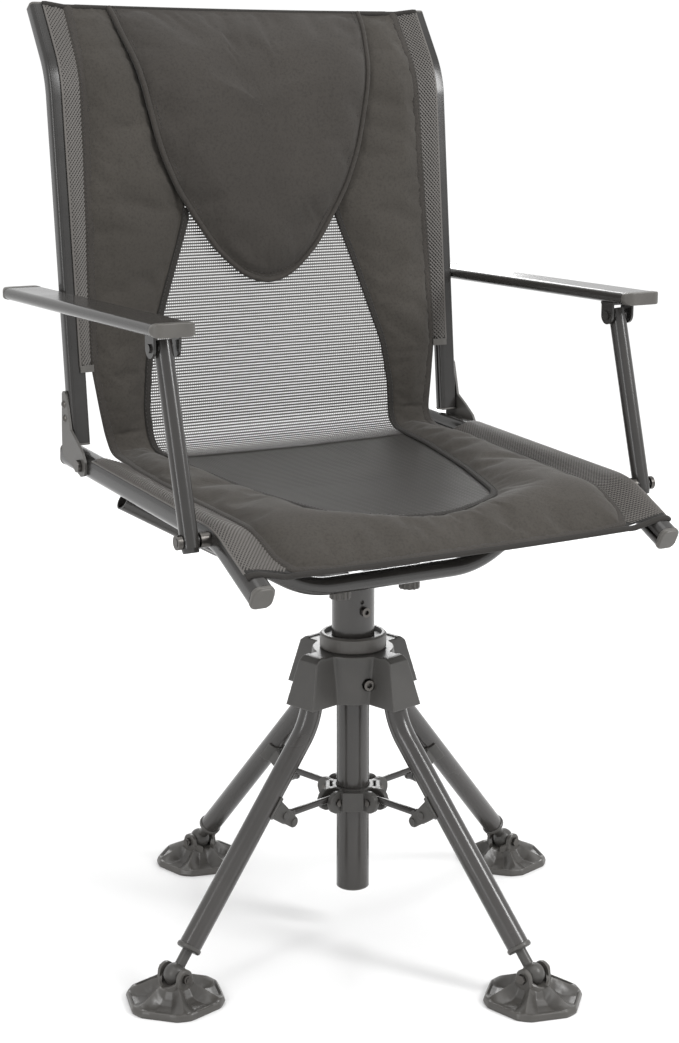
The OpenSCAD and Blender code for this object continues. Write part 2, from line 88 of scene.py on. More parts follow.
def ramp(nt, fac, stops):
    r = nt.nodes.new("ShaderNodeValToRGB")
    while len(r.color_ramp.elements) < len(stops):
        r.color_ramp.elements.new(0.5)
    for e, (p, c) in zip(r.color_ramp.elements, stops):
        e.position = p
        e.color = (c[0], c[1], c[2], 1) if hasattr(c, "__len__") else (c, c, c, 1)
    nt.links.new(fac, r.inputs["Fac"])
    return r.outputs["Color"]


def mix(nt, a, b, fac, kind="MIX"):
    m = nt.nodes.new("ShaderNodeMix")
    m.data_type = "RGBA"
    m.blend_type = kind
    for socket, v in ((m.inputs[0], fac), (m.inputs[6], a), (m.inputs[7], b)):
        if hasattr(v, "links"):
            nt.links.new(v, socket)
        elif hasattr(v, "__len__"):
            socket.default_value = (v[0], v[1], v[2], 1)
        else:
            socket.default_value = v
    return m.outputs[2]


def math_node(nt, op, a, b=0.0):
    m = nt.nodes.new("ShaderNodeMath")
    m.operation = op
    for socket, v in ((m.inputs[0], a), (m.inputs[1], b)):
        if hasattr(v, "links"):
            nt.links.new(v, socket)
        else:
            socket.default_value = v
    return m.outputs[0]


def bump(nt, bsdf, height, strength, distance):
    b = nt.nodes.new("ShaderNodeBump")
    b.inputs["Strength"].default_value = strength
    b.inputs["Distance"].default_value = distance
    nt.links.new(height, b.inputs["Height"])
    nt.links.new(b.outputs["Normal"], bsdf.inputs["Normal"])


def shade(c, k):
    return tuple(min(1.0, x * k) for x in c)


def painted_edge_highlight(nt, base, lift):
    """Painted highlight: slightly lighter along outside edges, where edges catch the light."""
    g = nt.nodes.new("ShaderNodeNewGeometry")
    w = ramp(nt, g.outputs["Pointiness"], [(0.50, 0.0), (0.62, 1.0)])
    return mix(nt, base, lift, math_node(nt, "MULTIPLY", w, 0.55))


def metal(name, base, rough=0.34, metallic=0.0, coat=0.35, grain=900, depth=0.00004, spec=0.5):
    m, nt, p = tree(name)
    v = coords(nt)
    big = noise_node(nt, v, 22, 4)
    fine = noise_node(nt, v, grain, 2)
    c = ramp(nt, big, [(0.30, shade(base, 0.86)), (0.70, shade(base, 1.16))])
    c = mix(nt, c, shade(base, 1.7), math_node(nt, "MULTIPLY", ramp(nt, fine, [(0.60, 0.0), (0.78, 1.0)]), 0.35))
    # painted highlight along convex edges
    nt.links.new(painted_edge_highlight(nt, c, shade(base, 2.1)), p.inputs["Base Color"])
    r = nt.nodes.new("ShaderNodeMapRange")
    r.inputs["To Min"].default_value = rough - 0.06
    r.inputs["To Max"].default_value = rough + 0.08
    nt.links.new(big, r.inputs["Value"])
    nt.links.new(r.outputs["Result"], p.inputs["Roughness"])
    p.inputs["Metallic"].default_value = metallic
    p.inputs["Specular IOR Level"].default_value = spec
    p.inputs["Coat Weight"].default_value = coat
    p.inputs["Coat Roughness"].default_value = 0.16
    bump(nt, p, fine, 0.35, depth)
    return m


def brushed(name, base, rough=0.30):
    m, nt, p = tree(name)
    v = coords(nt, (30, 30, 900))
    n = noise_node(nt, v, 1.0, 3)
    big = noise_node(nt, coords(nt), 60, 3)
    c = mix(nt, ramp(nt, n, [(0.3, shade(base, 0.8)), (0.7, shade(base, 1.2))]), shade(base, 0.6), math_node(nt, "MULTIPLY", big, 0.4))
    # painted highlight along convex edges
    nt.links.new(painted_edge_highlight(nt, c, shade(base, 1.5)), p.inputs["Base Color"])
    p.inputs["Metallic"].default_value = 1.0
    p.inputs["Roughness"].default_value = rough
    bump(nt, p, n, 0.2, 0.00003)
    return m


def plastic(name, base, rough=0.5, grain=700, strength=0.5):
    m, nt, p = tree(name)
    v = coords(nt)
    big = noise_node(nt, v, 35, 4)
    vo = nt.nodes.new("ShaderNodeTexVoronoi")
    vo.inputs["Scale"].default_value = grain
    nt.links.new(v, vo.inputs["Vector"])
    c = ramp(nt, big, [(0.30, shade(base, 0.88)), (0.72, shade(base, 1.15))])
    # painted highlight along convex edges
    nt.links.new(painted_edge_highlight(nt, c, shade(base, 1.9)), p.inputs["Base Color"])
    p.inputs["Roughness"].default_value = rough
    p.inputs["Specular IOR Level"].default_value = 0.45
    bump(nt, p, vo.outputs["Distance"], strength, 0.00012)
    return m


def cloth(name, base, pitch=0.0011, rough=0.9, sheen=0.25, weave=0.5, heather=0.5):
    """Plain weave seen along the piece's own X and along its slope; fine heather and soft staining."""
    m, nt, p = tree(name)
    v = coords(nt)
    k = 1.0 / pitch

    def wave(direction, s, distort):
        w = nt.nodes.new("ShaderNodeTexWave")
        w.wave_type = "BANDS"
        w.bands_direction = direction
        w.wave_profile = "SIN"
        w.inputs["Scale"].default_value = s * k / 20.0
        w.inputs["Distortion"].default_value = distort
        w.inputs["Detail Scale"].default_value = 4.0
        nt.links.new(v, w.inputs["Vector"])
        return w.outputs["Fac"]

    warp = wave("X", 6.2, 0.6)
    weft = math_node(nt, "MAXIMUM", math_node(nt, "MULTIPLY", wave("Z", 6.2, 0.6), 1.0), math_node(nt, "MULTIPLY", wave("Y", 6.2, 0.6), 0.8))
    grid = math_node(nt, "MULTIPLY", warp, weft)
    fibre = noise_node(nt, v, 1500, 3, 0.7)
    big = noise_node(nt, v, 9, 4)
    mid = noise_node(nt, v, 330, 3, 0.65)
    c = ramp(nt, big, [(0.28, shade(base, 0.88)), (0.72, shade(base, 1.12))])
    c = mix(nt, c, shade(base, 1.55), math_node(nt, "MULTIPLY", ramp(nt, fibre, [(0.52, 0.0), (0.80, 1.0)]), heather))
    c = mix(nt, c, shade(base, 0.50), math_node(nt, "MULTIPLY", ramp(nt, mid, [(0.46, 0.0), (0.72, 1.0)]), heather * 1.1))
    c = mix(nt, c, shade(base, 0.72), math_node(nt, "MULTIPLY", grid, weave * 0.45))
    nt.links.new(c, p.inputs["Base Color"])
    p.inputs["Roughness"].default_value = rough
    p.inputs["Specular IOR Level"].default_value = 0.25
    p.inputs["Sheen Weight"].default_value = sheen
    p.inputs["Sheen Roughness"].default_value = 0.45
    height = math_node(nt, "ADD", math_node(nt, "MULTIPLY", grid, 0.7), math_node(nt, "MULTIPLY", fibre, 0.5))
    bump(nt, p, height, weave, 0.00022)
    return m


def thread(name, base, rough=0.55):
    m, nt, p = tree(name)
    v = coords(nt)
    n = noise_node(nt, v, 900, 2)
    big = noise_node(nt, v, 14, 3)
    c = mix(nt, ramp(nt, big, [(0.3, shade(base, 0.88)), (0.7, shade(base, 1.12))]), shade(base, 1.5), math_node(nt, "MULTIPLY", n, 0.4))
    nt.links.new(c, p.inputs["Base Color"])
    p.inputs["Roughness"].default_value = rough
    p.inputs["Sheen Weight"].default_value = 0.1
    bump(nt, p, n, 0.3, 0.00008)
    return m


TUBE = metal("tube_gunmetal", (0.022, 0.0205, 0.019), 0.23, 0.0, 0.25, 900, 0.00003, 0.42)
RAIL = metal("rail_gunmetal", (0.018, 0.017, 0.016), 0.22, 0.0, 0.10, 1100, 0.00002, 0.40)
LEG = metal("leg_gunmetal", (0.026, 0.024, 0.0225), 0.24, 0.0, 0.25, 900, 0.00003, 0.45)
CAST = metal("casting_satin", (0.040, 0.038, 0.035), 0.42, 0.0, 0.10, 520, 0.00009, 0.45)
STEEL = brushed("dark_steel", (0.085, 0.080, 0.075), 0.30)
PLASTIC = plastic("plastic_dark", (0.050, 0.047, 0.043), 0.42)
CAPS = plastic("plastic_caps", (0.070, 0.066, 0.060), 0.40, 900, 0.3)
FOOT = plastic("plastic_foot", (0.052, 0.049, 0.045), 0.33, 420, 0.35)
FABRIC = cloth("fabric_charcoal", (0.045, 0.0405, 0.035), sheen=0.10)
HEADF = cloth("fabric_charcoal_head", (0.039, 0.035, 0.031), sheen=0.10)
BIND = cloth("fabric_binding", (0.024, 0.022, 0.020), 0.0016, 0.85, 0.06, 0.8, 0.3)
PANEL = cloth("fabric_back_lining", (0.050, 0.046, 0.042), 0.0016, 0.9, 0.15, 0.8, 0.4)
MESH_LIGHT = thread("mesh_thread", (0.040, 0.037, 0.034))
MESH_DARK = thread("mesh_thread_dark", (0.066, 0.060, 0.054))
STITCH = thread("stitch_thread", (0.024, 0.022, 0.020))

NODE_MAT = {
    "tube": TUBE, "rail": RAIL, "casting": CAST, "hardware": STEEL, "plastic": PLASTIC, "fabric": FABRIC,
}
SLOT_OF = {s["node"]: s["material_slot"] for s in frame["record"]["subparts"]}
for n, o in NODES.items():
    m = NODE_MAT[SLOT_OF[n]]
    if n.startswith("leg_tube") or n.startswith("brace_rod"):
        m = LEG
    if n.startswith("armrest_caps") or n.endswith("rail_caps"):
        m = CAPS
    o.data.materials.clear()
    o.data.materials.append(m)

# ------------------------------------------------------------------ meshes


def make(name, verts, faces, mat, body=None, smooth=True, sharp=None):
    me = bpy.data.meshes.new(name)
    me.from_pydata([tuple(float(c) for c in v) for v in verts], [], [tuple(int(i) for i in f) for f in faces])
    me.validate()
    me.update()
    if smooth:
        me.shade_smooth()
        if sharp is not None:
            me.set_sharp_from_angle(angle=D(sharp))
    o = bpy.data.objects.new(name, me)
    bpy.context.scene.collection.objects.link(o)
    me.materials.append(mat)
    if body:
        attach(o, body)
    return o


class Build:
    """Collects closed shells into one mesh."""

    def __init__(self):
        self.v, self.f, self.n = [], [], 0

    def add(self, v, f):
        v = np.asarray(v, float).reshape(-1, 3)
        self.v.append(v)
        self.f += [tuple(i + self.n for i in face) for face in f]
        self.n += len(v)

    def rings(self, rings, closed_ends=True):
        """Rings of equal length joined in order into a closed tube."""
        rings = np.asarray(rings, float)
        k, m = rings.shape[:2]
        f = []
        for i in range(k - 1):
            for j in range(m):
                a, b = i * m + j, i * m + (j + 1) % m
                f.append((a, b, b + m, a + m))
        if closed_ends:
            f.append(tuple(range(m - 1, -1, -1)))
            f.append(tuple((k - 1) * m + j for j in range(m)))
        self.add(rings.reshape(-1, 3), f)

    def obj(self, name, mat, body=None, smooth=True, sharp=35):
        return make(name, np.vstack(self.v), self.f, mat, body, smooth, sharp)


def frames_along(pts, up0):
    """Tangent, side and up at each point; up0 gives the up direction at each point or one for all."""
    pts = np.asarray(pts, float)
    t = np.gradient(pts, axis=0)
    t /= np.linalg.norm(t, axis=1)[:, None] + 1e-12
    up = np.broadcast_to(np.asarray(up0, float), pts.shape).copy()
    side = np.cross(t, up)
    side /= np.linalg.norm(side, axis=1)[:, None] + 1e-12
    up = np.cross(side, t)
    return t, side, up


def sweep(b, pts, up0, profile):
    """profile: points (side, up)."""
    pts = np.asarray(pts, float)
    _, s, u = frames_along(pts, up0)
    pr = np.asarray(profile, float)
    b.rings([pts[i] + pr[:, :1] * s[i] + pr[:, 1:] * u[i] for i in range(len(pts))])


def ring_profile(r, n=10, squash=1.0):
    return [(r * math.cos(2 * math.pi * k / n), squash * r * math.sin(2 * math.pi * k / n)) for k in range(n)]


def rounded(w, h, r, n=5):
    out = []
    for cx, cy, a0 in ((w / 2 - r, h / 2 - r, 0), (-w / 2 + r, h / 2 - r, 90), (-w / 2 + r, -h / 2 + r, 180), (w / 2 - r, -h / 2 + r, 270)):
        for k in range(n + 1):
            a = D(a0 + 90 * k / n)
            out.append((cx + r * math.cos(a), cy + r * math.sin(a)))
    return out


def smooth_np(a, k, closed=False):
    a = np.asarray(a, float)
    for _ in range(k):
        if closed:
            a = (np.roll(a, 1, 0) + 2 * a + np.roll(a, -1, 0)) / 4
        else:
            a[1:-1] = (a[:-2] + 2 * a[1:-1] + a[2:]) / 4
    return a


# ------------------------------------------------------------------ side view lines, metres


def ahead(a):
    return np.array([math.cos(a), math.sin(a)])


def aside(a):
    return np.array([-math.sin(a), math.cos(a)])


def turn_line(c, a1, a2, l1, l2, r, o, n=14, x1=0.0, x2=0.0):
    a1, a2 = D(a1), D(a2)
    out = [c - (l1 + x1) * ahead(a1) + o * aside(a1)]
    for k in range(n + 1):
        a = a1 - (a1 - a2) * k / n
        out.append(c - r * math.tan((a1 - a2) / 2) * ahead(a1) - r * aside(a1) + (r + o) * aside(a))
    out.append(c + (l2 + x2) * ahead(a2) + o * aside(a2))
    return np.array(out)


SEAT = (np.array([-0.166, 0.53065]), 26.3, 3.33, 0.09, 0.388 / math.cos(D(3.33)), 0.09)
BFOOT = np.array([0.1916, 0.571])
BACK = (BFOOT + 0.4108 * np.array([math.sin(D(5.3)), math.cos(D(5.3))]), 84.7, 57.0, 0.4108, 0.086, 0.10)
RAIL_IN, RAIL_OUT, RAIL_MID = 0.2352, 0.2602, 0.2477
BACK_IN, BACK_MID = 0.2382, 0.2492


def cover_line():
    """Side view line of the cover from the back's top edge to the seat's front hem."""
    b = turn_line(*BACK, 0.0045)[::-1]
    s = turn_line(*SEAT, 0.0055)[::-1]
    d1, d2 = -ahead(D(84.7)), -ahead(D(3.33))
    p, q = b[-1], s[0]
    t = np.linalg.solve(np.array([d1, -d2]).T, q - p)
    corner = p + t[0] * d1
    turn = math.acos(float(np.clip(d1 @ d2, -1, 1)))
    rc = 0.028
    a, e = corner - rc * math.tan(turn / 2) * d1, corner + rc * math.tan(turn / 2) * d2
    n1 = np.array([d1[1], -d1[0]])
    if n1 @ d2 < 0:
        n1 = -n1
    cen = a + rc * n1
    a0, a1 = math.atan2(*(a - cen)[::-1]), math.atan2(*(e - cen)[::-1])
    da = (a1 - a0 + math.pi) % (2 * math.pi) - math.pi
    arc = [cen + rc * np.array([math.cos(a0 + da * k / 12), math.sin(a0 + da * k / 12)]) for k in range(13)]
    return np.vstack([b[:-1], arc, s[1:]])


LINE = cover_line()
DIST = np.r_[0, np.cumsum(np.linalg.norm(np.diff(LINE, axis=0), axis=1))]
FINE = np.linspace(-0.004, DIST[-1], 1200)
_ly = np.interp(FINE, DIST, LINE[:, 0])
_lz = np.interp(FINE, DIST, LINE[:, 1])
_first = (LINE[1] - LINE[0]) / np.linalg.norm(LINE[1] - LINE[0])
for i, s_ in enumerate(FINE):
    if s_ < 0:
        _ly[i], _lz[i] = LINE[0] + s_ * _first
_ly, _lz = smooth_np(_ly, 60), smooth_np(_lz, 60)
_ty, _tz = np.gradient(_ly), np.gradient(_lz)
_tl = np.hypot(_ty, _tz)
_ny, _nz = -_tz / _tl, _ty / _tl          # towards the sitter: front of the back, top of the seat
if np.interp(0.7, FINE, _nz) < 0:
    _ny, _nz = -_ny, -_nz


def sag(x, s):
    k = np.interp(s, [0, 0.06, 0.2, 0.42, 0.50, 0.56, 0.70, 0.84, 0.93], [0.003, 0.0035, 0.0035, 0.0035, 0.002, 0.004, 0.009, 0.008, 0.003])
    return k * np.clip(1 - (x / 0.236) ** 2, 0, 1)


def on(x, s, o=0.0):
    """Point on the cover at x across and s along, o towards the sitter."""
    x, s, o = np.broadcast_arrays(np.asarray(x, float), np.asarray(s, float), np.asarray(o, float))
    y, z = np.interp(s, FINE, _ly), np.interp(s, FINE, _lz)
    ny, nz = np.interp(s, FINE, _ny), np.interp(s, FINE, _nz)
    h = o - sag(x, s)
    return np.stack([x, y + ny * h, z + nz * h], axis=-1)


def normal_at(s):
    ny, nz = np.interp(s, FINE, _ny), np.interp(s, FINE, _nz)
    return np.stack([np.zeros_like(ny), ny, nz], axis=-1)


def wob(x, s, scale, seed):
    return noise.noise(Vector((x / scale + seed, s / scale, seed * 1.7)))


def wobs(x, s, scale, seed):
    x, s = np.broadcast_arrays(x, s)
    return np.array([wob(a, b, scale, seed) for a, b in zip(x.ravel(), s.ravel())]).reshape(x.shape)


MM = 0.001
# half widths in millimetres across, at distances along the cover
OUTER = [(219, 0), (221, 70), (223, 171), (225, 243), (228, 320), (230, 405), (222, 463), (216, 500), (216, 530), (221, 600), (221, 720), (217, 840), (214, 905), (205, 926), (165, 931), (85, 932), (0, 932)]
INNER = [(160, 0), (150, 70), (127, 172), (98, 243), (127, 320), (158, 408), (165, 465), (163, 500), (161, 532), (156, 605), (139, 710), (117, 785), (110, 808), (100, 824), (84, 835), (60, 848), (32, 859), (0, 863)]
HEAD = [(165, 0), (161, 36), (149, 93), (131, 172), (112, 217), (95, 244), (81, 265), (67, 285), (51, 301), (37, 313), (23, 321), (10, 325), (0, 326)]


def curve_of(knots, n, k=6):
    kn = np.array(knots, float) * MM
    t = np.linspace(0, len(kn) - 1, n)
    c = np.stack([np.interp(t, np.arange(len(kn)), kn[:, i]) for i in (0, 1)], 1)
    e = c[[0, -1]].copy()
    c = smooth_np(c, k)
    c[[0, -1]] = e
    return c


def half(knots, s):
    """Half width at s, for a curve that runs one way along s."""
    c = curve_of(knots, 400)
    order = np.argsort(c[:, 1])
    return np.interp(s, c[order, 1], c[order, 0])


def u_loop(knots, n=260):
    left = curve_of(knots, n)
    left = left * np.array([-1, 1])
    right = left[::-1][1:] * np.array([-1, 1])
    return np.vstack([left, right])


def resample(c, step):
    l = np.r_[0, np.cumsum(np.linalg.norm(np.diff(c, axis=0), axis=1))]
    n = max(3, int(l[-1] / step))
    q = np.linspace(0, l[-1], n)
    return np.stack([np.interp(q, l, c[:, i]) for i in (0, 1)], 1)


def inflate(o, pin, steps=14, cap=0.004, pressure=3.0, stiff=18.0):
    """Blows a closed pad up a little with Cloth, its flange held still, and keeps every point within cap of where it was."""
    me = o.data
    rest = np.array([v.co for v in me.vertices], float)
    g = o.vertex_groups.new(name="held")
    for i in np.nonzero(pin > 0)[0]:
        g.add([int(i)], float(pin[i]), "REPLACE")
    c = o.modifiers.new("cloth", "CLOTH")
    st = c.settings
    st.quality = 6
    st.mass = 0.3
    st.tension_stiffness = st.compression_stiffness = stiff
    st.shear_stiffness = stiff * 0.6
    st.bending_stiffness = 0.6
    st.vertex_group_mass = "held"
    st.use_pressure = True
    st.uniform_pressure_force = pressure
    st.effector_weights.gravity = 0.0
    st.shrink_min = -0.014
    c.collision_settings.use_collision = False
    c.point_cache.frame_start, c.point_cache.frame_end = 1, steps
    scene = bpy.context.scene
    for f in range(1, steps + 1):
        scene.frame_set(f)
    dg = bpy.context.evaluated_depsgraph_get()
    ev = o.evaluated_get(dg)
    new = np.array([v.co for v in ev.data.vertices], float)
    o.modifiers.remove(c)
    o.vertex_groups.remove(g)
    scene.frame_set(1)
    if new.shape == rest.shape and np.isfinite(new).all():
        d = new - rest
        l = np.linalg.norm(d, axis=1)[:, None]
        d *= np.minimum(1.0, cap / np.maximum(l, 1e-9))
        d *= (1 - np.clip(pin, 0, 1))[:, None]
        me.vertices.foreach_set("co", (rest + d).astype(np.float32).ravel())
        me.update()
    return o


def shell(name, top, bot, mat, closed_u=False, body=None):
    """Closed shell from two grids of points; rims are joined."""
    k, m = top.shape[:2]
    v = np.vstack([top.reshape(-1, 3), bot.reshape(-1, 3)])
    off = k * m
    f = []
    last = k if closed_u else k - 1
    for i in range(last):
        for j in range(m - 1):
            a, b, c, d = i * m + j, i * m + j + 1, ((i + 1) % k) * m + j + 1, ((i + 1) % k) * m + j
            f.append((a, b, c, d))
            f.append((off + a, off + d, off + c, off + b))
    for i in range(last):
        for j, flip in ((0, False), (m - 1, True)):
            a, b = i * m + j, ((i + 1) % k) * m + j
            q = (a, b, off + b, off + a)
            f.append(q[::-1] if flip else q)
    if not closed_u:
        for i, flip in ((0, True), (k - 1, False)):
            for j in range(m - 1):
                a, b = i * m + j, i * m + j + 1
                q = (a, b, off + b, off + a)
                f.append(q[::-1] if flip else q)
    o = make(name, v, f, mat, body)
    me = o.data
    bm_fix(me)
    return o


def bm_fix(me):
    import bmesh
    bm = bmesh.new()
    bm.from_mesh(me)
    bmesh.ops.recalc_face_normals(bm, faces=bm.faces)
    bm.to_mesh(me)
    bm.free()
    me.shade_smooth()


def across_fold(o):
    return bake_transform(o)


# ------------------------------------------------------------------ padded border: one U from the back's top down both sides and round the seat's front


def padded_border():
    out, inn = u_loop(OUTER, 250), u_loop(INNER, 250)
    k = len(out)
    m = 23
    v = (1 - np.cos(np.linspace(0, math.pi, m))) / 2
    v = 0.55 * v + 0.45 * np.linspace(0, 1, m)
    x = out[:, None, 0] * (1 - v) + inn[:, None, 0] * v
    s = out[:, None, 1] * (1 - v) + inn[:, None, 1] * v
    wide = np.linalg.norm(out - inn, axis=1)[:, None]
    edge = np.minimum(v, 1 - v) * wide                       # distance from the nearer seam
    crown = 1 - np.exp(-(np.maximum(edge - 0.0045, 0) / 0.011) ** 1.15)
    thick = np.interp(s, [0, 0.006, 0.02, 0.05, 0.42, 0.47, 0.515, 0.56, 0.60, 0.90, 0.932], [0.5, 1.6, 5.5, 8, 9, 8, 4.6, 8, 10.5, 10.5, 10]) * MM
    # soft lengthwise folds and pulls
    soft = wobs(x, s, 0.075, 3.1) * 0.0016 + wobs(x, s, 0.030, 7.7) * 0.0007
    ridge = 0.0022 * np.exp(-((np.abs(x) - 0.196 + 0.02 * (s - 0.1)) / 0.010) ** 2) * np.interp(s, [0.02, 0.08, 0.3, 0.42], [0, 1, 0.7, 0])
    crease = -0.0022 * np.exp(-((s - 0.512) / 0.006) ** 2) - 0.0010 * np.exp(-((s - 0.492 - 0.05 * (np.abs(x) - 0.19)) / 0.004) ** 2)
    t = 0.0012 + crown * (thick + soft + ridge + crease * 1.0)
    # sewn double seam: a narrow groove inside the flange
    groove = np.exp(-((edge - 0.0042) / 0.0011) ** 2) * 0.0007
    top = on(x, s, t - groove)
    bot = on(x, s, -0.0010 - 0.0010 * crown)
    o = shell("padded_border", top, bot, FABRIC)
    pin = np.r_[np.where(edge < 0.006, 1.0, 0.0).ravel(), np.ones(edge.size)]
    inflate(o, pin)
    across_fold(o)
    return o, out, inn


border, OUT, INN = padded_border()


def head_pad():
    left = curve_of(HEAD, 90) * np.array([-1, 1])
    right = left[::-1][1:] * np.array([-1, 1])
    lower = np.vstack([left, right])
    topx = np.linspace(lower[-1, 0], lower[0, 0], 60)[1:-1]
    loop = np.vstack([lower, np.stack([topx, np.zeros_like(topx)], 1)])
    n = len(loop)
    centre = np.array([0.0, 0.125])
    rr = np.r_[np.linspace(0.03, 0.86, 20), 0.89, 0.92, 0.945, 0.965, 0.98, 0.992, 1.0]
    grid = centre + rr[None, :, None] * (loop[:, None, :] - centre)
    x, s = grid[..., 0], grid[..., 1]
    d = np.full(x.shape, 1.0)
    for p in resample(np.vstack([loop, loop[:1]]), 0.0008):
        d = np.minimum(d, np.hypot(x - p[0], s - p[1]))
    d[:, -1] = 0
    side = 1 - np.exp(-(np.maximum(d - 0.003, 0) / 0.016) ** 1.2)
    thick = np.interp(s, [0, 0.01, 0.04, 0.12, 0.25, 0.33], [1.5, 5, 9.5, 12, 13, 12]) * MM
    soft = wobs(x, s, 0.09, 11.3) * 0.0016 + wobs(x, s, 0.035, 5.2) * 0.0005
    lift = np.interp(s, [0, 0.02, 0.08], [0.0012, 0.0050, 0.0076])
    groove = np.exp(-((d - 0.0075) / 0.0012) ** 2) * 0.0008
    t = lift + 0.0012 + side * (thick + soft) - groove
    top = on(x, s, t)
    bot = on(x, s, -0.0012 + 0 * t)
    centre_top = on(0.0, 0.125, float(t[:, 0].mean()))
    centre_bot = on(0.0, 0.125, -0.0012)
    k, m = x.shape
    v = np.vstack([top.reshape(-1, 3), bot.reshape(-1, 3), [centre_top], [centre_bot]])
    off = k * m
    f = []
    for i in range(k):
        i2 = (i + 1) % k
        for j in range(m - 1):
            f.append((i * m + j, i * m + j + 1, i2 * m + j + 1, i2 * m + j))
            f.append((off + i * m + j, off + i2 * m + j, off + i2 * m + j + 1, off + i * m + j + 1))
        f.append((i * m + m - 1, off + i * m + m - 1, off + i2 * m + m - 1, i2 * m + m - 1))
        f.append((2 * off, i * m, i2 * m))
        f.append((2 * off + 1, off + i2 * m, off + i * m))
    o = make("head_pad", v, f, HEADF, None)
    bm_fix(o.data)
    pin = np.r_[np.where(d < 0.006, 1.0, 0.0).ravel(), np.ones(off), 0.0, 1.0]
    inflate(o, pin, cap=0.004)
    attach(o, "back")
    return o, loop, left, right


head, HLOOP, HLEFT, HRIGHT = head_pad()
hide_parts("seat_fabric")
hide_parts("back_fabric")

# ------------------------------------------------------------------ mesh panels: window and strip nets woven as real strands, the seat's panel a solid sheet


def strand(b, x, s, o, w, t):
    """Flat strand along a line on the cover."""
    p = on(x, s, o)
    sweep(b, p, normal_at(np.broadcast_to(s, np.shape(p)[:1])), [(-w / 2, -t / 2), (w / 2, -t / 2), (w / 2, t / 2), (-w / 2, t / 2)])


def window():
    b = Build()
    s0, s1 = 0.232, 0.548
    for s in np.arange(s0, s1, 0.0034):
        h = float(half(INNER[2:9], s)) + 0.004
        n = max(8, int(2 * h / 0.011))
        x = np.linspace(-h, h, n)
        strand(b, x, np.full(n, s), 0.0002, 0.0020, 0.0004)
    c = curve_of(INNER[2:9], 200)
    for x in np.arange(-0.1638, 0.1640, 0.0026):
        inside = c[c[:, 0] + 0.004 > abs(x)]
        inside = inside[inside[:, 1] > 0.236]
        lo = max(float(inside[:, 1].min()) if len(inside) else 0.4, s0)
        n = max(4, int((s1 - lo) / 0.012))
        s = np.linspace(lo, s1, n)
        strand(b, np.full(n, x), s, -0.00025, 0.00065, 0.0004)
    o = b.obj("window_mesh", MESH_LIGHT, None)
    across_fold(o)
    return o


def seat_panel():
    n, m = 90, 60
    s = np.linspace(0.538, 0.868, n)
    c = curve_of(INNER[7:], 400)
    order = np.argsort(c[:, 1])
    h = np.interp(s, c[order, 1], c[order, 0]) + 0.006
    h[-1] = h[-2] * 0.6
    u = np.linspace(-1, 1, m)
    x = h[:, None] * u[None, :]
    ss = np.repeat(s[:, None], m, 1)
    dip = -0.0016 * (1 - u[None, :] ** 2) + wobs(x, ss, 0.05, 2.2) * 0.0006
    o = shell("seat_mesh_panel", on(x, ss, dip), on(x, ss, dip - 0.0012), SEATMESH, body="seat")
    return o


def seat_mesh_material():
    m, nt, p = tree("seat_mesh_weave")
    v = coords(nt)
    # the real mesh is dark, and this solid sheet is made darker still with painted shade: the shadow under the seat
    # seen through the open weave; the dark gaps in the weave ramp are painted shade too
    base = (0.021, 0.0195, 0.0175)

    def wave(direction, pitch):
        w = nt.nodes.new("ShaderNodeTexWave")
        w.bands_direction = direction
        w.inputs["Scale"].default_value = 0.31 / pitch
        w.inputs["Distortion"].default_value = 0.15
        nt.links.new(v, w.inputs["Vector"])
        return w.outputs["Fac"]

    rows, cols = wave("Y", 0.0048), wave("X", 0.0034)
    g = math_node(nt, "MULTIPLY", rows, math_node(nt, "ADD", math_node(nt, "MULTIPLY", cols, 0.6), 0.4))
    big = noise_node(nt, v, 12, 3)
    c = ramp(nt, g, [(0.15, shade(base, 0.30)), (0.70, shade(base, 2.4))])
    c = mix(nt, c, shade(base, 1.3), math_node(nt, "MULTIPLY", big, 0.35))
    nt.links.new(c, p.inputs["Base Color"])
    p.inputs["Roughness"].default_value = 0.6
    bump(nt, p, g, 0.8, 0.0005)
    return m


SEATMESH = seat_mesh_material()
win = window()
seat_mesh = seat_panel()


def climb(x, start, rail, low, high):
    return low + (high - low) * np.clip((np.abs(x) - start) / (rail - start), 0, 1)


def wrap_seat(x, start=0.214):
    """Height of the side cloth where it climbs over the seat's rail."""
    top = np.interp(np.abs(x), [0.239, 0.246, 0.2535, 0.2580, 0.2607], [0.0066, 0.0082, 0.0082, 0.0068, 0.0030])
    return np.where(np.abs(x) < 0.239, climb(x, start, 0.239, 0.0003, 0.0066), top)


def wrap_back(x, start=0.219):
    top = np.interp(np.abs(x), [0.2380, 0.2420, 0.2500], [0.0044, 0.0053, 0.0053])
    return np.where(np.abs(x) < 0.238, climb(x, start, 0.238, 0.0003, 0.0044), top)


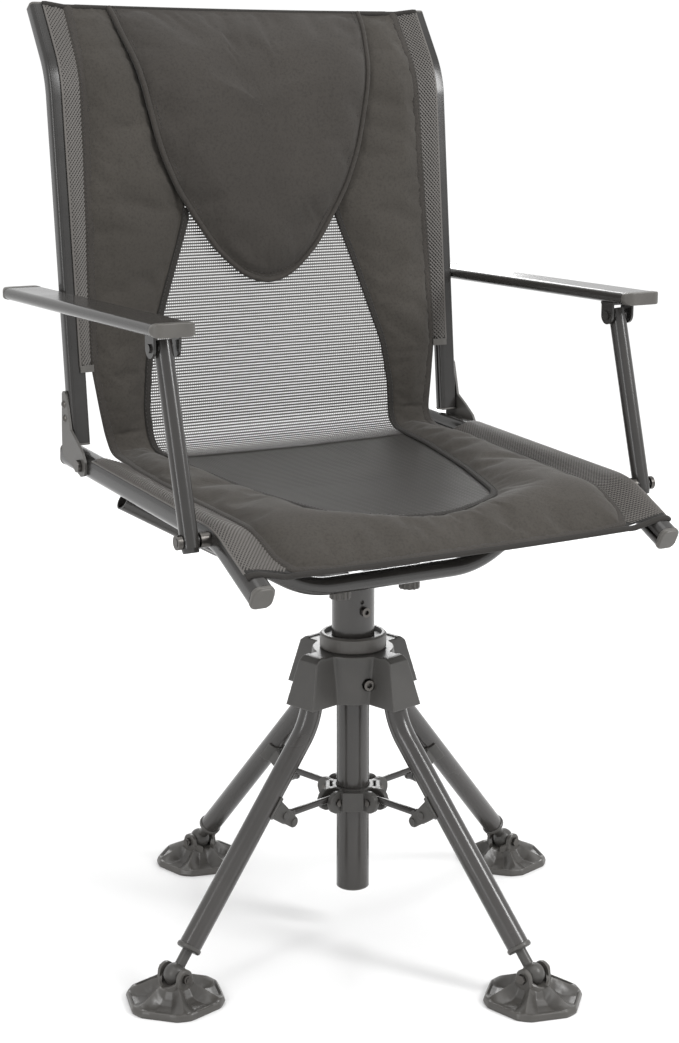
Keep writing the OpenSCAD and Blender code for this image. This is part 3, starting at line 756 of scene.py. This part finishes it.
def strip(name, s0, s1, side, body, inner_knots, x_out, wrap):
    """Woven edge strip from the padded border over the rail: a dark ground with a raised diagonal net."""
    c = curve_of(inner_knots, 400)
    order = np.argsort(c[:, 1])

    def inner(s):
        return np.interp(s, c[order, 1], c[order, 0]) - 0.003

    n, m = 70, 22
    s = np.linspace(s0, s1, n)
    u = np.linspace(0, 1, m)
    x = inner(s)[:, None] * (1 - u) + x_out * u
    ss = np.repeat(s[:, None], m, 1)
    h = wrap(x, inner(s)[:, None] + 0.0045)
    ground = shell(name + "_ground", on(side * x, ss, h), on(side * x, ss, h - 0.0007), MESH_GROUND, body=body)
    b = Build()
    pitch = 0.0048
    for k in (-1, 1):
        for a in np.arange(s0 - 0.06, s1 + 0.06, pitch):
            xx = np.linspace(0.200, x_out, 17)
            q = a + k * (xx - 0.2) * 1.25
            ok = (xx >= inner(q) - 1e-4) & (q >= s0) & (q <= s1)
            if ok.sum() >= 3:
                xs, qs = xx[ok], q[ok]
                strand(b, side * xs, qs, wrap(xs, inner(qs) + 0.0045) + 0.0005 + 0.0002 * k, 0.0015, 0.0004)
    q = np.linspace(s0, s1, 60)
    strand(b, side * np.full(60, x_out - 0.0006), q, float(wrap(x_out)) + 0.0003, 0.0022, 0.0014)
    o = b.obj(name, MESH_DARK, body)
    return o


MESH_GROUND = thread("mesh_ground", (0.014, 0.013, 0.012), 0.8)
for side, word in ((-1, "left"), (1, "right")):
    strip("back_strip_" + word, 0.002, 0.412, side, "back", OUTER[:8], 0.2465, wrap_back)
    strip("seat_strip_" + word, 0.556, 0.928, side, "seat", OUTER[7:14], 0.2588, wrap_seat)

# ------------------------------------------------------------------ bindings, hems, piping and stitches


def ribbon(b, c, o, w, t, every=1):
    """Soft oval tape along a curve (x, s) on the cover."""
    p = on(c[::every, 0], c[::every, 1], o)
    pr = [(w / 2 * math.cos(a), t / 2 * math.sin(a)) for a in np.linspace(0, 2 * math.pi, 13)[:-1]]
    sweep(b, p, normal_at(c[::every, 1]), pr)


def offset(c, d):
    t = np.gradient(c, axis=0)
    t /= np.linalg.norm(t, axis=1)[:, None] + 1e-12
    return c + d * np.stack([-t[:, 1], t[:, 0]], 1)


def stitches(b, c, o, length=0.0030, gap=0.0048, w=0.0008):
    c = resample(c, gap)
    for i in range(len(c) - 1):
        d = (c[i + 1] - c[i]) / np.linalg.norm(c[i + 1] - c[i])
        q = np.array([c[i] - d * 0.0, c[i] + d * length / 2, c[i] + d * length])
        oo = np.array([o - 0.0006, o + 0.0003, o - 0.0006]) if np.isscalar(o) else o[i] + np.array([-0.0006, 0.0003, -0.0006])
        p = on(q[:, 0], q[:, 1], oo)
        sweep(b, p, normal_at(q[:, 1]), [(w / 2, 0), (0, w / 2), (-w / 2, 0), (0, -w / 2)])


# tape round the window and the seat's mesh panel
INN_D = resample(INN[(INN[:, 1] > 0.236)], 0.004)
b = Build()
ribbon(b, INN_D, 0.0014, 0.0086, 0.0034)
tape = b.obj("window_binding", BIND, None)
across_fold(tape)

b = Build()
for q in (-0.0026, 0.0026):
    stitches(b, offset(INN_D, q), 0.0032)
st1 = b.obj("binding_stitches", STITCH, None)
across_fold(st1)

# tape along the border's outer edge and round the front hem
OUT_D = resample(OUT, 0.004)
b = Build()
ribbon(b, offset(OUT_D, -0.0036), 0.0009, 0.0120, 0.0036)
edge_tape = b.obj("border_edge_tape", HEADF, None)
across_fold(edge_tape)
b = Build()
stitches(b, offset(OUT_D, -0.0004), 0.0025)
stitches(b, offset(OUT_D, -0.0068), 0.0025)
st2 = b.obj("border_stitches", STITCH, None)
across_fold(st2)

# rolled hem at the seat's front and at the back's top
b = Build()
x = np.r_[np.linspace(-0.2588, -0.205, 24), np.linspace(-0.200, 0.200, 70), np.linspace(0.205, 0.2588, 24)]
p = on(x, np.full(len(x), 0.9325), np.where(np.abs(x) > 0.205, wrap_seat(x), 0.0009) - 0.0004)
sweep(b, p, normal_at(np.full(len(x), 0.9325)), [(0.0035 * math.cos(a), 0.0028 * math.sin(a)) for a in np.linspace(0, 2 * math.pi, 13)[:-1]])
hem = b.obj("front_hem", BIND, "seat")
b = Build()
x = np.r_[np.linspace(-0.2465, -0.205, 20), np.linspace(-0.200, 0.200, 70), np.linspace(0.205, 0.2465, 20)]
p = on(x, np.zeros(len(x)), np.where(np.abs(x) > 0.205, wrap_back(x), 0.0009) - 0.0002)
sweep(b, p, normal_at(np.zeros(len(x))), [(0.0029 * math.cos(a), 0.0025 * math.sin(a)) for a in np.linspace(0, 2 * math.pi, 13)[:-1]])
hem2 = b.obj("top_hem", BIND, "back")

# piping and double seam round the head pad
b = Build()
lower = resample(np.vstack([HLEFT, HRIGHT]), 0.004)
lo = np.interp(lower[:, 1], [0, 0.02, 0.08], [0.0020, 0.0058, 0.0084])
p = on(lower[:, 0], lower[:, 1], lo)
sweep(b, p, normal_at(lower[:, 1]), ring_profile(0.0031, 12))
pipe = b.obj("head_piping", HEADF, "back")
b = Build()
for dd, oo in ((0.0050, 0.0004), (0.0078, 0.0012)):
    c = resample(offset(lower, -dd), 0.0048)
    stitches(b, c, np.interp(c[:, 1], [0, 0.02, 0.08], [0.0022, 0.0062, 0.0090]) + oo)
st3 = b.obj("head_stitches", STITCH, "back")

# tab at the foot of each back strip
for side, word in ((-1, "left"), (1, "right")):
    b = Build()
    xs = np.linspace(0.2290, 0.2465, 10)
    strand(b, side * xs, np.full(10, 0.4145), wrap_back(xs) + 0.0004, 0.0080, 0.0016)
    b.obj("strip_tab_" + word, CAPS, "back")

# ------------------------------------------------------------------ rails: extruded sections with rounded corners, bead slot and end


def slotted(w, h, r, slot_at, slot_w, slot_d):
    """Closed section (side, up) with a slot in its +side face, the one towards the seat."""
    y0, y1, x0, x1 = slot_at - slot_w / 2, slot_at + slot_w / 2, w / 2, w / 2 - slot_d
    return rounded(w, h, r, 6) + [(x0, y0 - 0.0004), (x0 - 0.0004, y0), (x1, y0), (x1, y1), (x0 - 0.0004, y1), (x0, y1 + 0.0004)]


def rail(name, line, x_mid, w, h, r, slot_at, slot_w, side, body, node, lines=()):
    pr = slotted(w, h, r, slot_at, slot_w, 0.0055)
    pr = [(a, c) for a, c in pr]
    pr = groove(pr, lines)
    pts = line
    n = len(pts)
    p3 = np.stack([np.full(n, side * x_mid), pts[:, 0], pts[:, 1]], 1)
    t = np.gradient(pts, axis=0)
    t /= np.linalg.norm(t, axis=1)[:, None]
    up = np.stack([np.zeros(n), -t[:, 1], t[:, 0]], 1)
    inward = np.array([-side, 0.0, 0.0])
    b = Build()
    b.rings([p3[i] + np.array([a * inward + c * up[i] for a, c in pr]) for i in range(n)])
    o = b.obj(name, RAIL, body, True, 28)
    bm_fix(o.data)
    o.data.set_sharp_from_angle(angle=D(28))
    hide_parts(node)
    return o


def groove(pr, lines):
    """Narrow V grooves cut into the top edge of the section at given side positions."""
    out = []
    for i, p in enumerate(pr):
        q = pr[(i + 1) % len(pr)]
        out.append(p)
        if abs(p[1] - q[1]) < 1e-7 and p[1] > 0 and abs(p[0] - q[0]) > 0.004:
            for g in sorted(lines, reverse=p[0] > q[0]):
                sgn = -1 if p[0] > q[0] else 1
                out += [(g - sgn * 0.0008, p[1]), (g, p[1] - 0.0010), (g + sgn * 0.0008, p[1])]
    return out


def dense(line, step=0.02):
    out = [line[0]]
    for a, c in zip(line[:-1], line[1:]):
        n = max(1, int(np.linalg.norm(c - a) / step))
        for k in range(1, n + 1):
            out.append(a + (c - a) * k / n)
    return np.array(out)


for side, word in ((-1, "left"), (1, "right")):
    rail("seat_side_rail_" + word, dense(turn_line(*SEAT, 0.0, 18)), RAIL_MID, 0.025, 0.026, 0.0095, 0.0000, 0.0030, side, "seat", "seat_rail_" + word, ())
    rail("back_side_rail_" + word, dense(turn_line(*BACK, 0.0, 18)), BACK_MID, 0.022, 0.018, 0.0050, 0.0010, 0.0030, side, "back", "back_rail_" + word, (-0.0070,))

# ------------------------------------------------------------------ feet


def foot(node, stud, body, alpha):
    lo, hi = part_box(node)
    c = np.array([0.2742 * math.cos(alpha), 0.2742 * math.sin(alpha), 0.0])
    R = 0.0549
    nt = 180
    rr = np.r_[np.linspace(0.0, 0.30, 7), np.linspace(0.33, 0.90, 24), 0.925, 0.945, 0.962, 0.978, 0.990, 1.0]
    th = np.linspace(0, 2 * math.pi, nt, endpoint=False)
    lobes = 6

    def place(t):
        return ((t * lobes / (2 * math.pi)) % 1.0) * 2 - 1        # -1..1 across a scoop, a ridge at each end

    verts_t, verts_b = [], []
    for t in th:
        a = place(t)
        half_lobe = a * math.pi / lobes
        rim = R * min(1.0, 1.075 * math.cos(math.pi / lobes) / math.cos(half_lobe))
        k = min(1.0, max(0.0, (abs(a) - 0.38) / 0.62))
        k = k ** 1.15
        row, rowb = [], []
        for q in rr:
            r = q * rim
            dish = float(np.interp(q, [0, 0.30, 0.36, 0.46, 0.58, 0.78, 0.90, 0.945, 0.975, 1.0], [21, 21, 18.0, 10.0, 6.2, 4.6, 5.0, 7.6, 7.4, 2.6]))
            crest = float(np.interp(q, [0, 0.30, 0.38, 0.50, 0.66, 0.82, 0.93, 0.965, 1.0], [21, 21, 23.2, 20.5, 15.5, 11.2, 8.2, 7.0, 2.6]))
            z = dish + (crest - dish) * k
            row.append((c[0] + r * math.cos(t + alpha), c[1] + r * math.sin(t + alpha), z * MM))
            rowb.append((c[0] + r * 0.985 * math.cos(t + alpha), c[1] + r * 0.985 * math.sin(t + alpha), 0.0006 * (q < 0.9)))
        verts_t.append(row)
        verts_b.append(rowb)
    top, bot = np.array(verts_t), np.array(verts_b)
    b = Build()
    m = len(rr)
    v = np.vstack([top.reshape(-1, 3), bot.reshape(-1, 3)])
    off = nt * m
    f = []
    for i in range(nt):
        i2 = (i + 1) % nt
        for j in range(1, m - 1):
            f.append((i * m + j, i2 * m + j, i2 * m + j + 1, i * m + j + 1))
            f.append((off + i * m + j, off + i * m + j + 1, off + i2 * m + j + 1, off + i2 * m + j))
        f.append((i * m + m - 1, i2 * m + m - 1, off + i2 * m + m - 1, off + i * m + m - 1))
        f.append((0, i2 * m + 1, i * m + 1))
        f.append((off, off + i * m + 1, off + i2 * m + 1))
    used = sorted({i for q in f for i in q})
    at = {i: k for k, i in enumerate(used)}
    b.add(v[used], [tuple(at[i] for i in q) for q in f])
    # saddle round the ball: a cup wall open towards the leg's inside, with two ears
    ux, uy = np.array([math.cos(alpha), math.sin(alpha), 0]), np.array([-math.sin(alpha), math.cos(alpha), 0])

    def loc(x, y, z):
        return c + ux * x + uy * y + np.array([0, 0, z])

    rings = []
    for a in np.linspace(D(-152), D(152), 61):
        e = abs(math.sin(a))
        h = 0.0215 + 0.0085 * (0.5 - 0.5 * math.cos(2 * a)) - 0.001 * math.cos(a)
        ri, ro = 0.01345, 0.0178 + 0.0008 * e
        rings.append([loc(ri * math.cos(a), ri * math.sin(a), 0.015), loc(ro * math.cos(a) * 1.06, ro * math.sin(a), 0.014), loc(ro * math.cos(a), ro * math.sin(a), h - 0.0012), loc((ro - 0.0012) * math.cos(a), (ro - 0.0012) * math.sin(a), h), loc((ri + 0.0008) * math.cos(a), (ri + 0.0008) * math.sin(a), h)])
    b.rings(rings)
    for sy in (-1, 1):
        rings = []
        for y, grow in ((0.01340, 0.0), (0.01340, 0.0), (0.0172, 0.0), (0.0184, -0.0011)):
            ring = []
            for k in range(28):
                a = 2 * math.pi * k / 28
                rad = 0.0098 + grow
                x, z = rad * math.cos(a), 0.030 + rad * math.sin(a)
                if math.sin(a) < -0.05:
                    z = max(0.0305 - (0.0305 - 0.012) * min(1, -math.sin(a) * 1.35), 0.012)
                    x = x * 1.0 + 0.0045 * min(1, -math.sin(a) * 1.2) * (1 if x > 0 else -1)
                ring.append(loc(x, sy * y, z))
            rings.append(ring if sy > 0 else ring[::-1])
        b.rings(rings[1:])
    o = b.obj("mud_foot_" + body[5:], FOOT, body, True, 32)
    bm_fix(o.data)
    o.data.set_sharp_from_angle(angle=D(32))
    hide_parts(node)
    return o


for word, a in (("front_left", 195), ("front_right", 285), ("back_left", 105), ("back_right", 15)):
    foot("foot_pad_" + word, "foot_stud_" + word, "foot_" + word, D(a))

# ------------------------------------------------------------------ softened edges on castings and sheet metal


def soften(node, width, segments=3, angle=32):
    o = NODES[node]
    w = o.modifiers.new("weld", "WELD")
    w.merge_threshold = 0.00001
    m = o.modifiers.new("bevel", "BEVEL")
    m.width = width
    m.segments = segments
    m.limit_method = "ANGLE"
    m.angle_limit = D(angle)
    m.use_clamp_overlap = True
    m.harden_normals = False


def melt(node, voxel, rounds):
    """Remeshed and relaxed, so that a casting's edges are soft."""
    o = NODES[node]
    r = o.modifiers.new("voxels", "REMESH")
    r.mode = "VOXEL"
    r.voxel_size = voxel
    r.use_smooth_shade = True
    s = o.modifiers.new("relax", "SMOOTH")
    s.factor = 0.5
    s.iterations = rounds


melt("leg_hub", 0.0009, 5)
melt("spreader_collar", 0.0007, 4)
for word in ("front_left", "front_right", "back_left", "back_right"):
    melt("brace_bracket_" + word, 0.0005, 3)
for word in ("left", "right"):
    melt("armrest_caps_" + word, 0.0006, 5)
melt("seat_rail_caps", 0.0006, 4)
melt("back_rail_caps", 0.0006, 3)

# ------------------------------------------------------------------ stage


def material_floor():
    m, nt, p = tree("floor_paper")
    v = coords(nt)
    n = noise_node(nt, v, 3, 2)
    c = ramp(nt, n, [(0.3, 0.795), (0.7, 0.805)])
    nt.links.new(c, p.inputs["Base Color"])
    p.inputs["Roughness"].default_value = 0.9
    p.inputs["Specular IOR Level"].default_value = 0.0
    return m


floor = make("floor", [(-30, -30, -0.0002), (30, -30, -0.0002), (30, 30, -0.0002), (-30, 30, -0.0002)], [(0, 1, 2, 3)], material_floor())

world = bpy.data.worlds.new("studio")
world.use_nodes = True
bg = world.node_tree.nodes["Background"]
bg.inputs["Color"].default_value = (1, 1, 1, 1)
bg.inputs["Strength"].default_value = 1.02
bpy.context.scene.world = world


def softbox(name, loc, target, size, size_y, power):
    l = bpy.data.lights.new(name, "AREA")
    l.shape = "RECTANGLE"
    l.size, l.size_y = size, size_y
    l.energy = power
    l.use_shadow = True
    o = bpy.data.objects.new(name, l)
    o.location = loc
    o.rotation_euler = (Vector(target) - Vector(loc)).to_track_quat("-Z", "Y").to_euler()
    bpy.context.scene.collection.objects.link(o)
    return o


softbox("key", (1.7, -2.3, 2.3), (0, 0, 0.55), 0.7, 1.5, 62)
softbox("fill", (-2.7, -0.9, 1.5), (0, 0, 0.5), 0.5, 1.8, 20)
sky = bpy.data.lights.new("overhead", "SUN")
sky.energy = 1.0
sky.angle = D(48)
sky_o = bpy.data.objects.new("overhead", sky)
sky_o.rotation_euler = (D(4), D(3), 0)
bpy.context.scene.collection.objects.link(sky_o)
softbox("rim", (1.4, 2.3, 1.6), (0, 0, 0.6), 0.7, 1.6, 22)

cam = bpy.data.cameras.new("camera")
cam.sensor_width = 36.0
cam.lens = 1928.81 / 1043 * 36.0
cam.clip_start, cam.clip_end = 0.05, 200
cam.dof.use_dof = False
co = bpy.data.objects.new("camera", cam)
bpy.context.scene.collection.objects.link(co)
az, el, dist = D(-30.11), D(12.69), 2.17585
target = Vector((-0.0134, 0.0078, 0.488))
back = Vector((math.sin(az) * math.cos(el), -math.cos(az) * math.cos(el), math.sin(el)))
co.location = target + back * dist
co.rotation_euler = (-back).to_track_quat("-Z", "Y").to_euler()
bpy.context.scene.camera = co
bpy.context.scene.view_settings.view_transform = "Standard"
bpy.context.scene.view_settings.look = "None"
